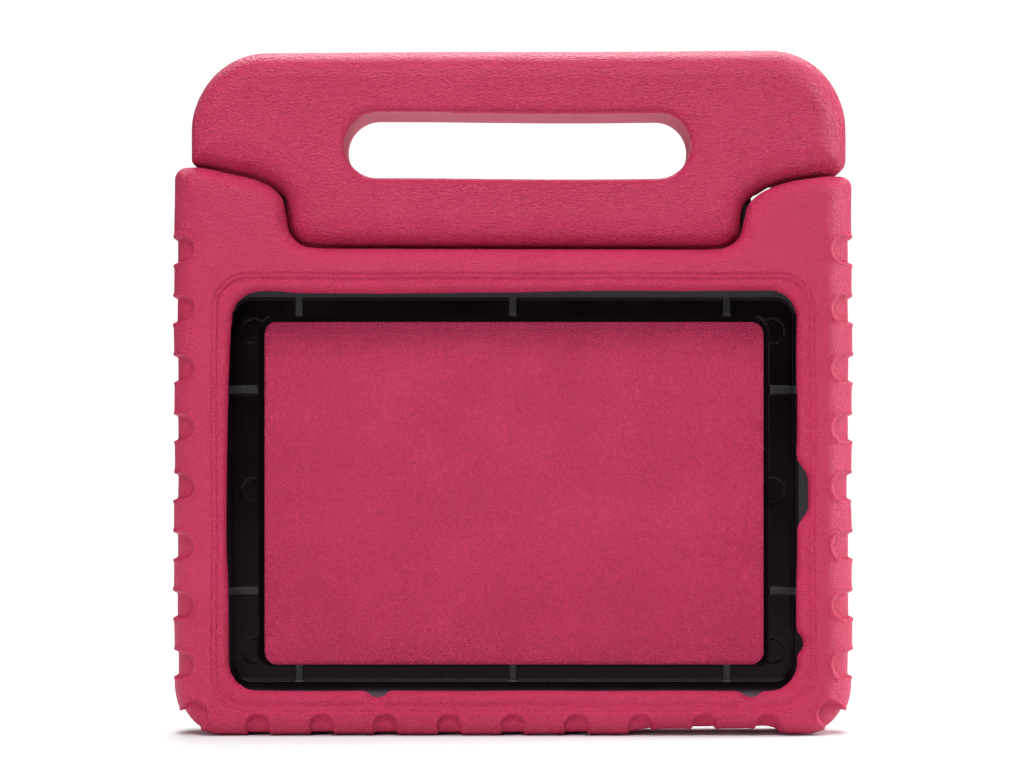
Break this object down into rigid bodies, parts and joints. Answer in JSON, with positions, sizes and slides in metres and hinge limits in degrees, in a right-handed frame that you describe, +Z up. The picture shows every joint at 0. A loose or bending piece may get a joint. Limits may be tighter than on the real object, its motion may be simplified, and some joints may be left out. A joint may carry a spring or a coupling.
{
  "type": "tablet case",
  "caption": "Moulded foam tablet case with a hard inner tray, an open front, grip scallops and a slotted carrying handle that folds back to make a stand.",
  "frame": {"origin": "under the middle of the foot, at the bottom centre of the box, with the handle upright", "axes": "+X to the right as seen from the screen side, +Y from the screen side to the back, +Z up"},
  "size_m": [0.27, 0.03, 0.2712],
  "materials": {
    "foam": "matte",
    "tray_plastic": "satin",
    "hinge_plastic": "satin",
    "core_plastic": "matte",
    "steel": "satin"
  },
  "bodies": {
    "case": {"foam_shell": "foam", "inner_tray": "tray_plastic", "hinge_bracket_left": "hinge_plastic", "hinge_bracket_right": "hinge_plastic", "bracket_screw_left_1": "steel", "bracket_screw_left_2": "steel", "bracket_screw_right_1": "steel", "bracket_screw_right_2": "steel"},
    "handle": {"handle_foam": "foam", "handle_core": "core_plastic", "hinge_hub_left": "hinge_plastic", "hinge_hub_right": "hinge_plastic", "pivot_pin_left": "steel", "pivot_pin_right": "steel", "retaining_clip_left": "steel", "retaining_clip_right": "steel", "friction_washer_left": "steel", "friction_washer_right": "steel", "hub_screw_left_1": "steel", "hub_screw_left_2": "steel", "hub_screw_right_1": "steel", "hub_screw_right_2": "steel"}
  },
  "joints": [
    {"name": "handle_fold", "type": "hinge", "parent": "case", "child": "handle", "pos_m": [0, 0.0075, 0.206], "axis": [-1, 0, 0], "range_deg": [0, 115]}
  ]
}
